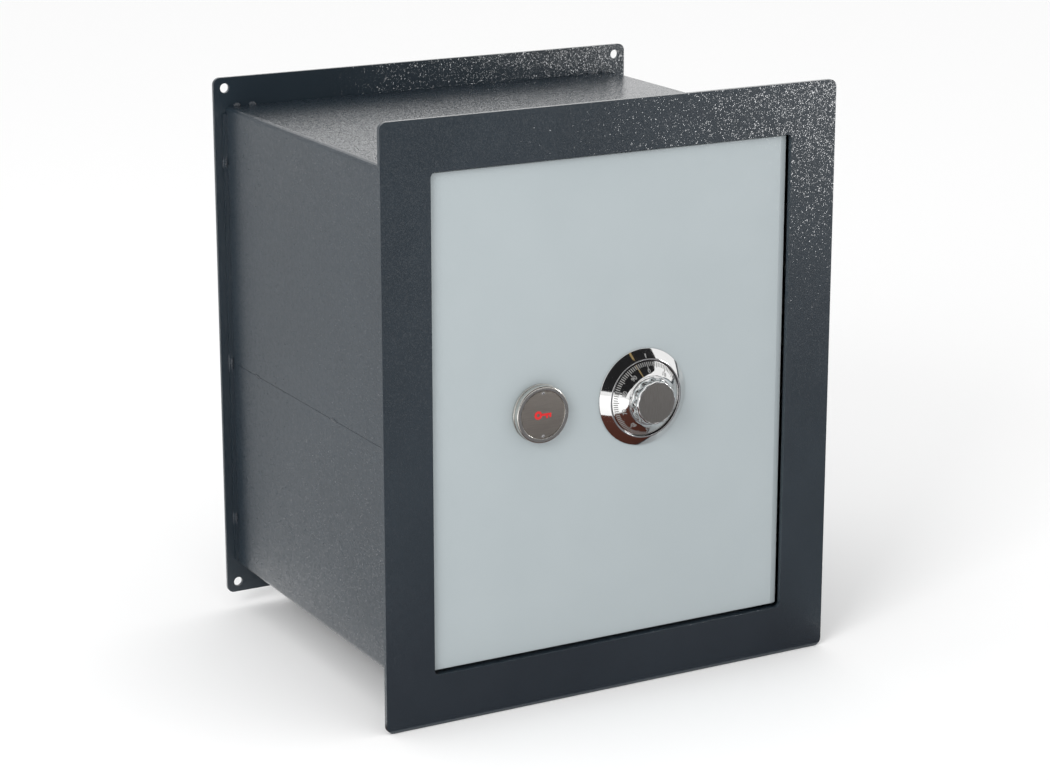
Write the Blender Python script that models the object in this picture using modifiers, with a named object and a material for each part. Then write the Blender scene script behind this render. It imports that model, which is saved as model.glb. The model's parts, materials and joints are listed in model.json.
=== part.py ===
"""A wall safe: a steel box to be walled in, closed by a door with a key lock and a combination dial.

Metres. X runs to the right, Y into the wall and Z up. The origin is the centre of the back plate's
rear face. The safe stands at rest with its door closed and its bolts drawn back.
"""

import math

import bmesh
import bpy
from mathutils import Matrix, Vector

GAP = 0.0003  # left between two solids that touch
RUN = 0.0003  # left round a piece that turns or slides

# Front frame
DEPTH = 0.325
FLANGE_WIDTH = 0.406
FLANGE_HEIGHT = 0.480
FLANGE_SHEET = 0.004
OPENING_WIDTH = 0.322
OPENING_HEIGHT = 0.398
FLANGE_FRONT = -DEPTH
FLANGE_REAR = FLANGE_FRONT + FLANGE_SHEET

# Box
BACK_WIDTH = 0.397
BACK_HEIGHT = 0.452
BACK_SHEET = 0.003
ANCHOR_X = 0.1885
ANCHOR_Z = 0.217
ANCHOR_RADIUS = 0.004
BODY_WIDTH = 0.376
BODY_HEIGHT = 0.403
BODY_SHEET = 0.002
BODY_BEND = 0.004
BODY_FRONT = FLANGE_REAR + GAP
BODY_REAR = -BACK_SHEET - GAP
SEAM_Z = -0.019
REAR_LIP = 0.0035
SEAT_MARGIN = 0.001
SEAT_DEPTH = 0.0001
INNER_X = BODY_WIDTH / 2 - BODY_SHEET
INNER_Z = BODY_HEIGHT / 2 - BODY_SHEET

# Door
DOOR_FRONT = FLANGE_REAR + 0.0005
DOOR_SHEET = 0.008
DOOR_REAR = DOOR_FRONT + DOOR_SHEET
DOOR_WIDTH = 0.320
DOOR_TOP = 0.1978
DOOR_BOTTOM = -0.1966
DOOR_BEVEL_WIDTH = 0.006
DOOR_BEVEL_DEPTH = 0.0015
ON_DOOR = DOOR_REAR + GAP  # where a piece on the door's rear face starts

# Hinge
HINGE_X = 0.1435
HINGE_Y = -0.304
HINGE_PIN_RADIUS = 0.005
HINGE_BORE = HINGE_PIN_RADIUS + RUN
HINGE_LOW = 0.150
HINGE_BLOCK_HEIGHT = 0.0234
HINGE_WASHER = 0.002
HINGE_LUG_SHEET = 0.006
HINGE_HALF = 0.008

# Bolts
BOLT_RADIUS = 0.009
BOLT_Y = -0.297
BOLT_HEIGHTS = {"upper": 0.115, "middle": 0.0, "lower": -0.115}
BOLT_TIP = -0.158
BAR_LEFT = -0.122
BAR_RIGHT = -0.090
BAR_SHEET = 0.005
BAR_HALF_HEIGHT = 0.135
BOLT_TRAVEL = 0.016
STUD_X = -0.1144
STUD_Z = 0.060
STUD_RADIUS = 0.004

# Mechanism cover
COVER_LEFT = -0.148
COVER_RIGHT = 0.122
COVER_HALF_HEIGHT = 0.176
COVER_REAR = -0.268
COVER_SHEET = 0.0015
POST_INSET = 0.012

# Combination lock
DIAL_X = 0.027
SPINDLE_RADIUS = 0.004
RING_RADIUS = 0.0397
RING_RIM_RADIUS = 0.0319
RING_HEIGHT = 0.0064
DIAL_RADIUS = 0.0306
DIAL_HUB_RADIUS = 0.0205
DIAL_HUB_HEIGHT = 0.0130
DIAL_COLLAR = 0.0011
DIAL_HUB_STEP = 0.0002
DIAL_CHAMFER = 0.0003
DIAL_SINK = 0.0006
DIAL_UNDERSIDE = 0.0034
KNOB_HEIGHT = 0.0230
KNOB_RADIUS = 0.0183
KNOB_FLUTES = 12
KNOB_FLUTE_DEPTH = 0.0009
KNOB_BEVEL = 0.0009
KNOB_BORE_DEPTH = 0.006
SPINDLE_HEIGHT = 0.0195
SPINDLE_PAST_CAM = 0.0015
WHEEL_RADIUS = 0.022
WHEEL_SHEET = 0.003
WHEEL_PITCH = 0.0042
WHEEL_FIRST_Y = -0.3076
GATE_DEPTH = 0.004
GATE_WIDTH = 0.007
CASE_HALF_WIDTH = 0.037
CASE_HALF_HEIGHT = 0.039
CASE_REAR = -0.286
CASE_SHEET = 0.002
CAM_FRONT = -0.2945
CAM_REAR = -0.2905
FENCE_X = -0.003
FENCE_Z = 0.028

# Key lock
KEY_X = -0.067
KEY_BASE_HEIGHT = 0.003
KEY_COVER_RADIUS = 0.023
KEY_COVER_HEIGHT = 0.0083
KEY_COVER_DISC = 0.0192
KEY_PIN_RADIUS = 0.0012
KEY_PIN_Z = 0.0173
KEY_CASE_LEFT = -0.084
KEY_CASE_RIGHT = -0.046
KEY_CASE_HALF_HEIGHT = 0.045
KEY_CASE_REAR = -0.288

# Shelf
SHELF_FRONT = -0.245
SHELF_REAR = -0.010
SHELF_SHEET = 0.0015

AIM = {
    "up": (0, 0, 0),
    "front": (math.pi / 2, 0, 0),
    "rear": (-math.pi / 2, 0, 0),
    "left": (0, -math.pi / 2, 0),
}

FINISHES = {
    "dark_paint": ((0.040, 0.050, 0.062), 0.35, 0.0),
    "light_paint": ((0.50, 0.56, 0.58), 0.40, 0.0),
    "chrome": ((0.80, 0.80, 0.80), 0.05, 1.0),
    "nickel": ((0.55, 0.52, 0.48), 0.28, 1.0),
    "zinc": ((0.62, 0.62, 0.60), 0.35, 1.0),
    "brass": ((0.70, 0.52, 0.25), 0.30, 1.0),
}


def clear_scene():
    for obj in list(bpy.data.objects):
        bpy.data.objects.remove(obj, do_unlink=True)


def new_collection(name):
    collection = bpy.data.collections.new(name)
    bpy.context.scene.collection.children.link(collection)
    return collection


clear_scene()
SAFE = new_collection("wall_safe")
CUTTERS = new_collection("wall_safe_cutters")
PLACES = {}  # world position of each empty


def finish_material(obj, finish):
    colour, roughness, metallic = FINISHES[finish]
    material = bpy.data.materials.new(obj.name + "_" + finish)
    material.use_nodes = True
    shader = material.node_tree.nodes["Principled BSDF"]
    shader.inputs["Base Color"].default_value = (*colour, 1.0)
    shader.inputs["Roughness"].default_value = roughness
    shader.inputs["Metallic"].default_value = metallic
    obj.data.materials.clear()
    obj.data.materials.append(material)


def hang(obj, parent):
    """Parents obj to an empty and leaves it where it is."""
    if parent:
        obj.parent = bpy.data.objects[parent]
        obj.matrix_parent_inverse = Matrix.Translation(-PLACES[parent])


def joint_axis(name, place, parent=None):
    """An empty on a joint's axis: the pieces that move together hang on it."""
    empty = bpy.data.objects.new(name, None)
    empty.empty_display_size = 0.02
    empty.location = place
    SAFE.objects.link(empty)
    PLACES[name] = Vector(place)
    hang(empty, parent)
    return name


def add(name, mesh, place, aim, finish, parent):
    """Links a piece, or a cutter where finish is None."""
    obj = bpy.data.objects.new(name, mesh)
    obj.location = place
    obj.rotation_euler = AIM[aim]
    if finish:
        SAFE.objects.link(obj)
        finish_material(obj, finish)
    else:
        CUTTERS.objects.link(obj)
        obj.hide_render = True
        obj.display_type = "WIRE"
    hang(obj, parent)
    return obj


def block(name, low, high, finish, parent=None):
    """A box between two corners."""
    mesh = bpy.data.meshes.new(name)
    shape = bmesh.new()
    bmesh.ops.create_cube(shape, size=1.0)
    size = [b - a for a, b in zip(low, high)]
    bmesh.ops.scale(shape, vec=size, verts=shape.verts)
    shape.to_mesh(mesh)
    shape.free()
    centre = [(a + b) / 2 for a, b in zip(low, high)]
    return add(name, mesh, centre, "up", finish, parent)


def rod(name, radius, length, place, aim, finish, parent=None, sides=32):
    """A cylinder that starts at place and runs the way aim says."""
    mesh = bpy.data.meshes.new(name)
    shape = bmesh.new()
    bmesh.ops.create_cone(
        shape, cap_ends=True, segments=sides, radius1=radius, radius2=radius, depth=length
    )
    bmesh.ops.translate(shape, vec=(0, 0, length / 2), verts=shape.verts)
    shape.to_mesh(mesh)
    shape.free()
    smooth(mesh)
    return add(name, mesh, place, aim, finish, parent)


def smooth(mesh, degrees=35):
    mesh.shade_smooth()
    mesh.set_sharp_from_angle(angle=math.radians(degrees))


def circle(radius, sides, centre=(0.0, 0.0)):
    turn = 2 * math.pi / sides
    return [
        (centre[0] + radius * math.cos(i * turn), centre[1] + radius * math.sin(i * turn))
        for i in range(sides)
    ]


def arc(centre, radius, start, end, steps):
    """Points on an arc, with its angles in degrees."""
    points = []
    for i in range(steps + 1):
        angle = math.radians(start + (end - start) * i / steps)
        x = centre[0] + radius * math.cos(angle)
        y = centre[1] + radius * math.sin(angle)
        points.append((x, y))
    return points


def rounded_rectangle(width, height, radius, steps=5):
    x = width / 2 - radius
    y = height / 2 - radius
    points = []
    for sx, sy, start in ((1, 1, 0), (-1, 1, 90), (-1, -1, 180), (1, -1, 270)):
        points += arc((sx * x, sy * y), radius, start, start + 90, steps)
    return points


def long_hole(left, right, centre_z, radius, steps=8):
    """A slot along X with round ends."""
    return arc((left + radius, centre_z), radius, 90, 270, steps) + arc(
        (right - radius, centre_z), radius, -90, 90, steps
    )


def outline_mesh(name, loops, thickness):
    """A plate in the local XY plane, half its thickness each way. The loops after the first are holes."""
    curve = bpy.data.curves.new(name + "_outline", "CURVE")
    curve.dimensions = "2D"
    curve.fill_mode = "BOTH"
    curve.extrude = thickness / 2
    for points in loops:
        spline = curve.splines.new("POLY")
        spline.points.add(len(points) - 1)
        for point, (x, y) in zip(spline.points, points):
            point.co = (x, y, 0, 1)
        spline.use_cyclic_u = True
    outline = bpy.data.objects.new(name + "_outline", curve)
    SAFE.objects.link(outline)
    graph = bpy.context.evaluated_depsgraph_get()
    mesh = bpy.data.meshes.new_from_object(outline.evaluated_get(graph))
    bpy.data.objects.remove(outline)
    shape = bmesh.new()
    shape.from_mesh(mesh)
    bmesh.ops.remove_doubles(shape, verts=shape.verts, dist=1e-6)
    bmesh.ops.recalc_face_normals(shape, faces=shape.faces)
    shape.to_mesh(mesh)
    shape.free()
    smooth(mesh)
    return mesh


def plate(name, loops, front, rear, finish, parent=None, at=(0.0, 0.0)):
    """A plate that faces the front, from loops of (x, z) about the point at."""
    mesh = outline_mesh(name, loops, rear - front)
    return add(name, mesh, (at[0], (front + rear) / 2, at[1]), "front", finish, parent)


def upright(name, loops, bottom, top, finish, parent=None, at=(0.0, 0.0)):
    """A section of (x, y) about the point at, drawn out along Z."""
    mesh = outline_mesh(name, loops, top - bottom)
    return add(name, mesh, (at[0], at[1], (bottom + top) / 2), "up", finish, parent)


def lengthwise(name, section, left, right, finish, parent=None):
    """A section of (y, z), drawn out along X."""
    mesh = outline_mesh(name, [section], right - left)
    mesh.transform(Matrix(((0, 0, 1), (1, 0, 0), (0, 1, 0))).to_4x4())
    return add(name, mesh, ((left + right) / 2, 0, 0), "up", finish, parent)


def turned(name, profile, place, aim, finish, parent=None, sides=48):
    """A turned shape. The profile is (radius, height), down its outer side; it closes if it has a bore."""
    count = len(profile)
    edges = [(i, i + 1) for i in range(count - 1)]
    if min(radius for radius, _ in profile) > 0:
        edges.append((count - 1, 0))
    mesh = bpy.data.meshes.new(name)
    mesh.from_pydata([(radius, 0, height) for radius, height in profile], edges, [])
    obj = add(name, mesh, place, aim, finish, parent)
    screw = obj.modifiers.new("Turn", "SCREW")
    screw.steps = sides
    screw.render_steps = sides
    screw.use_merge_vertices = True
    screw.merge_threshold = 1e-5
    return obj


def tube_profile(inner, outer, low, high):
    return [(outer, high), (outer, low), (inner, low), (inner, high)]


def open_box(name, low, high, open_side, sheet, finish, parent=None):
    """A tray of sheet metal between two corners, open towards open_side: the shell grows inwards."""
    obj = block(name, low, high, finish, parent)
    shape = bmesh.new()
    shape.from_mesh(obj.data)
    way = Vector(open_side)
    lids = [face for face in shape.faces if face.normal.dot(way) > 0.9]
    bmesh.ops.delete(shape, geom=lids, context="FACES_ONLY")
    shape.to_mesh(obj.data)
    shape.free()
    shell = obj.modifiers.new("Sheet", "SOLIDIFY")
    shell.thickness = sheet
    shell.offset = -1
    shell.use_even_offset = True
    return obj


def bevel(obj, width, segments=2):
    edge = obj.modifiers.new("Edges", "BEVEL")
    edge.width = width
    edge.segments = segments
    edge.limit_method = "ANGLE"
    edge.angle_limit = math.radians(40)


def combine(obj, other, operation="DIFFERENCE"):
    boolean = obj.modifiers.new(other.name, "BOOLEAN")
    boolean.operation = operation
    boolean.object = other
    return obj


def join(obj, other):
    return combine(obj, other, "UNION")


def body_seat(obj, front, rear, half_width):
    """A shallow seat where the body stands, so that the strips round it are faces of their own."""
    half_height = BODY_HEIGHT / 2 + SEAT_MARGIN
    low = (-half_width, front, -half_height)
    high = (half_width, rear, half_height)
    combine(obj, block(obj.name + "_seat", low, high, None))


def front_flange():
    outer = rounded_rectangle(FLANGE_WIDTH, FLANGE_HEIGHT, 0.006, 6)
    opening = rounded_rectangle(OPENING_WIDTH, OPENING_HEIGHT, 0.004, 5)
    obj = plate("front_flange", [outer, opening], FLANGE_FRONT, FLANGE_REAR, "dark_paint")
    bevel(obj, 0.0007)
    body_seat(obj, FLANGE_REAR - SEAT_DEPTH, BODY_FRONT, BODY_WIDTH / 2 + SEAT_MARGIN)


def back_plate():
    loops = [rounded_rectangle(BACK_WIDTH, BACK_HEIGHT, 0.006, 6)]
    for sx in (-1, 1):
        for sz in (-1, 1):
            loops.append(circle(ANCHOR_RADIUS, 20, (sx * ANCHOR_X, sz * ANCHOR_Z)))
    obj = plate("back_plate", loops, -BACK_SHEET, 0.0, "dark_paint")
    bevel(obj, 0.0005, 1)
    body_seat(obj, BODY_REAR, SEAT_DEPTH - BACK_SHEET, BODY_WIDTH / 2 + REAR_LIP + SEAT_MARGIN)


def shell_section(side):
    """The bent sheet's section: the top half for side 1, the bottom half for side -1."""
    half = BODY_WIDTH / 2
    far = BODY_HEIGHT / 2
    near = side * (SEAM_Z + side * GAP / 2)
    inner_bend = BODY_BEND - BODY_SHEET
    x = half - BODY_BEND
    z = far - BODY_BEND
    points = [(half, near)]
    points += arc((x, z), BODY_BEND, 0, 90, 4)
    points += arc((-x, z), BODY_BEND, 90, 180, 4)
    points += [(-half, near), (-half + BODY_SHEET, near)]
    points += arc((-x, z), inner_bend, 180, 90, 4)
    points += arc((x, z), inner_bend, 90, 0, 4)
    points.append((half - BODY_SHEET, near))
    return [(px, side * pz) for px, pz in points]


def shell(name, side):
    obj = plate(name, [shell_section(side)], BODY_FRONT, BODY_REAR, "dark_paint")
    near = SEAM_Z + side * GAP / 2
    far = side * (BODY_HEIGHT / 2 - 0.006)
    for label, sx in (("left", -1), ("right", 1)):
        edges_x = sorted((sx * (BODY_WIDTH / 2 - 0.001), sx * (BODY_WIDTH / 2 + REAR_LIP)))
        edges_z = sorted((near, far))
        low = (edges_x[0], BODY_REAR - BODY_SHEET, edges_z[0])
        high = (edges_x[1], BODY_REAR, edges_z[1])
        join(obj, block(f"{name}_{label}_lip", low, high, None))


def strike_channel():
    """The folded sheet on the latch side. The bolts go through its web."""
    left = -INNER_X + GAP
    web_left = -0.166
    web_right = -0.163
    front = FLANGE_REAR + GAP
    rear = -0.270
    sheet = 0.002
    section = [
        (left, front),
        (web_right, front),
        (web_right, rear),
        (left, rear),
        (left, rear - sheet),
        (web_left, rear - sheet),
        (web_left, front + sheet),
        (left, front + sheet),
    ]
    obj = upright("strike_channel", [section], -0.160, 0.160, "dark_paint")
    for label, height in BOLT_HEIGHTS.items():
        place = (web_right + 0.002, BOLT_Y, height)
        combine(obj, rod(f"strike_hole_{label}", 0.010, 0.008, place, "left", None))


def stop_strip(name, side):
    """The strip that the closed door's rear face lies on."""
    inner = 0.184
    outer = INNER_Z - GAP
    rear = ON_DOOR + 0.012
    sheet = 0.003
    section = [(ON_DOOR, inner), (ON_DOOR, outer), (rear, outer), (rear, outer - sheet)]
    section += [(ON_DOOR + sheet, outer - sheet), (ON_DOOR + sheet, inner)]
    section = [(y, side * z) for y, z in section]
    lengthwise(name, section, -DOOR_WIDTH / 2, 0.128, "dark_paint")


def hinge_bracket(name, side):
    """A lug fixed in the box: its leg stands behind the door's turning circle."""
    start = side * (HINGE_LOW + HINGE_BLOCK_HEIGHT + HINGE_WASHER + 2 * GAP)
    end = start + side * HINGE_LUG_SHEET
    nose = arc((0, 0), HINGE_HALF, 180, 360, 12)
    lug = nose + [(HINGE_HALF, 0.026), (-HINGE_HALF, 0.026)]
    bottom, top = sorted((start, end))
    loops = [lug, circle(HINGE_BORE, 24)]
    obj = upright(name, loops, bottom, top, "dark_paint", None, (HINGE_X, HINGE_Y))
    wall = side * (INNER_Z - GAP)
    low_z, high_z = sorted((start + side * 0.001, wall))
    low = (HINGE_X - HINGE_HALF + 0.0005, HINGE_Y + 0.013, low_z)
    high = (HINGE_X + HINGE_HALF - 0.0005, HINGE_Y + 0.0255, high_z)
    join(obj, block(name + "_leg", low, high, None))


def hinge_pin(name, side):
    """The pin's head lies on the lug's far face."""
    lug_face = HINGE_LOW + HINGE_BLOCK_HEIGHT + HINGE_WASHER + 2 * GAP + HINGE_LUG_SHEET
    head_low = lug_face + GAP
    profile = [
        (0, head_low + 0.0025),
        (0.0068, head_low + 0.0025),
        (0.0073, head_low + 0.002),
        (0.0073, head_low),
        (HINGE_PIN_RADIUS, head_low),
        (HINGE_PIN_RADIUS, HINGE_LOW + 0.001),
        (HINGE_PIN_RADIUS - 0.001, HINGE_LOW),
        (0, HINGE_LOW),
    ]
    if side < 0:
        profile = [(radius, -height) for radius, height in reversed(profile)]
    turned(name, profile, (HINGE_X, HINGE_Y, 0), "up", "zinc", None, 24)


def hinge_washer(name, side):
    low = HINGE_LOW + HINGE_BLOCK_HEIGHT + GAP
    low_z, high_z = sorted((side * low, side * (low + HINGE_WASHER)))
    profile = tube_profile(HINGE_BORE, 0.008, low_z, high_z)
    turned(name, profile, (HINGE_X, HINGE_Y, 0), "up", "brass", None, 24)


def shelf():
    """A loose sheet with its front edge folded down."""
    half = INNER_X - 0.001
    fold = 0.018
    section = [
        (SHELF_FRONT, -fold),
        (SHELF_FRONT + SHELF_SHEET, -fold),
        (SHELF_FRONT + SHELF_SHEET, 0),
        (SHELF_REAR, 0),
        (SHELF_REAR, SHELF_SHEET),
        (SHELF_FRONT, SHELF_SHEET),
    ]
    lengthwise("shelf", section, -half, half, "dark_paint")


def shelf_support(name, side):
    wall = side * (INNER_X - GAP)
    leg = wall - side * 0.0015
    ledge = wall - side * 0.015
    top = -GAP
    bottom = -0.017
    sheet = 0.0015
    section = [(wall, bottom), (wall, top), (ledge, top), (ledge, top - sheet), (leg, top - sheet)]
    section.append((leg, bottom))
    plate(name, [section], SHELF_FRONT + 0.006, SHELF_REAR - 0.006, "dark_paint")


def door_plate():
    half = DOOR_WIDTH / 2
    section = [
        (-half, DOOR_FRONT),
        (half - DOOR_BEVEL_WIDTH, DOOR_FRONT),
        (half, DOOR_FRONT + DOOR_BEVEL_DEPTH),
        (half, DOOR_REAR),
        (-half, DOOR_REAR),
    ]
    obj = upright("door_plate", [section], DOOR_BOTTOM, DOOR_TOP, "light_paint", "door_axis")
    bevel(obj, 0.0005, 1)
    for label, x, radius in (("spindle", DIAL_X, 0.0063), ("key", KEY_X, 0.011)):
        place = (x, DOOR_REAR + 0.005, 0)
        hole = rod(f"door_{label}_hole", radius, 0.018, place, "front", None, "door_axis", 32)
        combine(obj, hole)


def door_hinge_block(name, side):
    low_z, high_z = sorted((side * HINGE_LOW, side * (HINGE_LOW + HINGE_BLOCK_HEIGHT)))
    front = ON_DOOR - HINGE_Y
    rear = arc((0, 0), HINGE_HALF, 0, 180, 12)
    section = rear + [(-HINGE_HALF, front), (HINGE_HALF, front)]
    loops = [section, circle(HINGE_BORE, 24)]
    upright(name, loops, low_z, high_z, "zinc", "door_axis", (HINGE_X, HINGE_Y))


def dog_bar():
    """The fixed bar behind the frame on the hinge side, so the pins alone don't hold the door."""
    low = (0.126, ON_DOOR, -0.140)
    high = (0.172, ON_DOOR + 0.005, 0.140)
    bevel(block("dog_bar", low, high, "zinc", "door_axis"), 0.001)


def bolt_guide():
    """An angle on the door with three holes that carry the bolts' ends."""
    sheet = 0.004
    left = COVER_LEFT + COVER_SHEET + 0.0025
    foot = left + 0.018
    rear = BOLT_Y + 0.014
    foot_rear = ON_DOOR + 0.003
    section = [(left, ON_DOOR), (foot, ON_DOOR), (foot, foot_rear), (left + sheet, foot_rear)]
    section += [(left + sheet, rear), (left, rear)]
    obj = upright("bolt_guide", [section], -0.150, 0.150, "zinc", "door_axis")
    for label, height in BOLT_HEIGHTS.items():
        place = (left + 0.008, BOLT_Y, height)
        radius = BOLT_RADIUS + RUN
        hole = rod(f"guide_hole_{label}", radius, 0.012, place, "left", None, "door_axis")
        combine(obj, hole)


def post_places():
    """The cover's four corner posts, as (x, z)."""
    places = []
    for x in (COVER_LEFT + COVER_SHEET + POST_INSET + 0.010, COVER_RIGHT - POST_INSET):
        for z in (-COVER_HALF_HEIGHT + POST_INSET, COVER_HALF_HEIGHT - POST_INSET):
            places.append((x, z))
    return places


def mechanism_cover():
    low = (COVER_LEFT, ON_DOOR, -COVER_HALF_HEIGHT)
    high = (COVER_RIGHT, COVER_REAR, COVER_HALF_HEIGHT)
    way = (0, -1, 0)
    obj = open_box("mechanism_cover", low, high, way, COVER_SHEET, "dark_paint", "door_axis")
    for label, height in BOLT_HEIGHTS.items():
        place = (COVER_LEFT + 0.005, BOLT_Y, height)
        hole = rod(f"cover_hole_{label}", 0.0097, 0.010, place, "left", None, "door_axis")
        combine(obj, hole)
    for index, (x, z) in enumerate(post_places(), 1):
        place = (x, COVER_REAR - 0.005, z)
        hole = rod(f"cover_screw_hole_{index}", 0.0024, 0.010, place, "rear", None, "door_axis", 16)
        combine(obj, hole)


def cover_posts():
    """Four posts on the door with a blind bore each, and the screws that hold the cover on them."""
    length = COVER_REAR - COVER_SHEET - GAP - ON_DOOR
    bore = length - 0.018
    for index, (x, z) in enumerate(post_places(), 1):
        profile = [(0, bore), (0.0024, bore), (0.0024, length), (0.005, length), (0.005, 0), (0, 0)]
        turned(f"cover_post_{index}", profile, (x, ON_DOOR, z), "rear", "zinc", "door_axis", 20)
        head = 0.0025
        shank = 0.015
        profile = [
            (0, head),
            (0.0030, head),
            (0.0045, head * 0.5),
            (0.0045, 0),
            (0.0021, 0),
            (0.0021, -shank),
            (0, -shank),
        ]
        place = (x, COVER_REAR + GAP, z)
        turned(f"cover_screw_{index}", profile, place, "rear", "zinc", "door_axis", 20)


def dial_ring():
    """The fixed chrome cone round the dial, with a floor that the spindle comes through."""
    floor = 0.0030
    rim = 0.00115
    rim_inner = DIAL_RADIUS + 0.0005
    profile = [(rim_inner, RING_HEIGHT - 0.0003), (rim_inner + 0.0003, RING_HEIGHT)]
    profile += [(RING_RIM_RADIUS, RING_HEIGHT), (RING_RIM_RADIUS + 0.0003, RING_HEIGHT - 0.0002)]
    profile += [(RING_RADIUS - 0.0003, rim), (RING_RADIUS, rim - 0.0003), (RING_RADIUS, GAP)]
    profile += [(0.0065, GAP), (0.0065, floor), (rim_inner, floor)]
    turned("dial_ring", profile, (DIAL_X, DOOR_FRONT, 0), "front", "chrome", "door_axis", 72)


def spindle_bush():
    profile = tube_profile(SPINDLE_RADIUS + RUN, 0.006, GAP, DOOR_SHEET - GAP)
    turned("spindle_bush", profile, (DIAL_X, DOOR_REAR, 0), "front", "brass", "door_axis", 24)


def keyhole(slot_half, radius=0.0036, slot_width=0.003):
    """The hole for a double-bitted key: a round hole with a slot above and below."""
    half = slot_width / 2
    angle = math.degrees(math.acos(half / radius))
    points = [(half, slot_half)]
    points += arc((0, 0), radius, angle, -angle, 8)
    points += [(half, -slot_half), (-half, -slot_half)]
    points += arc((0, 0), radius, angle - 180, -angle - 180, 8)
    points.append((-half, slot_half))
    return points


def key_escutcheon():
    loops = [circle(KEY_COVER_RADIUS, 56), keyhole(0.009)]
    loops.append(circle(KEY_PIN_RADIUS + RUN, 12, (0, KEY_PIN_Z)))
    front = DOOR_FRONT - KEY_BASE_HEIGHT
    rear = DOOR_FRONT - GAP
    obj = plate("key_escutcheon", loops, front, rear, "nickel", "door_axis", (KEY_X, 0))
    bevel(obj, 0.0003, 1)


def key_guide():
    """The sleeve that leads the key through the door plate."""
    loops = [circle(0.0107, 32), keyhole(0.009)]
    front = DOOR_FRONT + GAP
    rear = DOOR_REAR - GAP
    plate("key_guide", loops, front, rear, "zinc", "door_axis", (KEY_X, 0))


def key_cover_cap():
    """The disc over the keyhole: a thick rounded rim round a flat disc. It hangs from a pin near its top."""
    under = KEY_BASE_HEIGHT + GAP
    top = KEY_COVER_HEIGHT
    face = top - 0.0004
    groove = 0.0004
    profile = [
        (0, face),
        (KEY_COVER_DISC - groove, face),
        (KEY_COVER_DISC - groove * 0.75, face - 0.0006),
        (KEY_COVER_DISC, face - 0.0006),
        (KEY_COVER_DISC + groove * 0.5, top - 0.0001),
    ]
    bend = 0.0016
    for radius, height in reversed(arc((KEY_COVER_RADIUS - bend, top - bend), bend, 0, 90, 5)):
        profile.append((radius, height))
    profile += [(KEY_COVER_RADIUS, under + 0.0004), (KEY_COVER_RADIUS - 0.0004, under), (0, under)]
    place = (KEY_X, DOOR_FRONT, 0)
    obj = turned("key_cover", profile, place, "front", "nickel", "key_cover_axis", 56)
    place = (KEY_X, DOOR_FRONT, KEY_PIN_Z)
    radius = KEY_PIN_RADIUS + RUN
    combine(obj, rod("key_cover_bore", radius, 0.012, place, "front", None, "key_cover_axis", 12))
    place = (KEY_X, DOOR_FRONT - under - 0.002, -KEY_PIN_Z)
    combine(obj, rod("key_cover_socket", radius, 0.010, place, "front", None, "key_cover_axis", 12))


def key_cover_pins():
    """The pivot pin, fixed in the escutcheon, and the stud that the finger pushes."""
    face = KEY_COVER_HEIGHT - 0.0002
    place = (KEY_X, DOOR_FRONT, KEY_PIN_Z)
    radius = KEY_PIN_RADIUS
    pin = [(0, face), (radius * 0.7, face - 0.0002), (radius, face - 0.0006), (radius, 0.0006), (0, 0.0006)]
    turned("key_cover_pin", pin, place, "front", "zinc", "door_axis", 16)
    foot = KEY_BASE_HEIGHT + 0.0026
    stud = pin[:3] + [(radius, foot), (0, foot)]
    place = (KEY_X, DOOR_FRONT, -KEY_PIN_Z)
    turned("key_cover_stud", stud, place, "front", "zinc", "key_cover_axis", 16)


def key_lock():
    """The key lock's case and cover on the door's rear face."""
    low = (KEY_CASE_LEFT, ON_DOOR, -KEY_CASE_HALF_HEIGHT)
    high = (KEY_CASE_RIGHT, KEY_CASE_REAR, KEY_CASE_HALF_HEIGHT)
    obj = open_box("key_lock_case", low, high, (0, 1, 0), CASE_SHEET, "zinc", "door_axis")
    hole = rod("key_case_hole", 0.0105, 0.010, (KEY_X, ON_DOOR + 0.005, 0), "front", None, "door_axis")
    combine(obj, hole)
    tongue = tongue_span()
    low = (KEY_CASE_LEFT - 0.004, tongue[0] - 0.0005, -0.0097)
    high = (KEY_CASE_LEFT + 0.005, tongue[1] + 0.0005, 0.0097)
    combine(obj, block("key_case_slot", low, high, None, "door_axis"))
    lid_front = KEY_CASE_REAR + GAP
    size = (KEY_CASE_RIGHT - KEY_CASE_LEFT, 2 * KEY_CASE_HALF_HEIGHT)
    loops = [rounded_rectangle(size[0], size[1], 0.002, 3), circle(0.004, 20)]
    centre = ((KEY_CASE_LEFT + KEY_CASE_RIGHT) / 2, 0)
    rear = lid_front + COVER_SHEET
    plate("key_lock_cover", loops, lid_front, rear, "zinc", "door_axis", centre)


def tongue_span():
    """The lock tongue's front and rear: it lies on the bolt bar's rear face."""
    front = BOLT_Y + BAR_SHEET / 2 + GAP
    return front, front + 0.003


def wheel_case():
    low = (DIAL_X - CASE_HALF_WIDTH, ON_DOOR, -CASE_HALF_HEIGHT)
    high = (DIAL_X + CASE_HALF_WIDTH, CASE_REAR, CASE_HALF_HEIGHT)
    obj = open_box("wheel_case", low, high, (0, 1, 0), CASE_SHEET, "zinc", "door_axis")
    place = (DIAL_X, ON_DOOR + 0.005, 0)
    combine(obj, rod("wheel_case_hole", 0.005, 0.010, place, "front", None, "door_axis", 24))
    loops = [rounded_rectangle(2 * CASE_HALF_WIDTH, 2 * CASE_HALF_HEIGHT, 0.002, 3)]
    front = CASE_REAR + GAP
    plate("wheel_case_cover", loops, front, front + COVER_SHEET, "zinc", "door_axis", (DIAL_X, 0))


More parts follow.
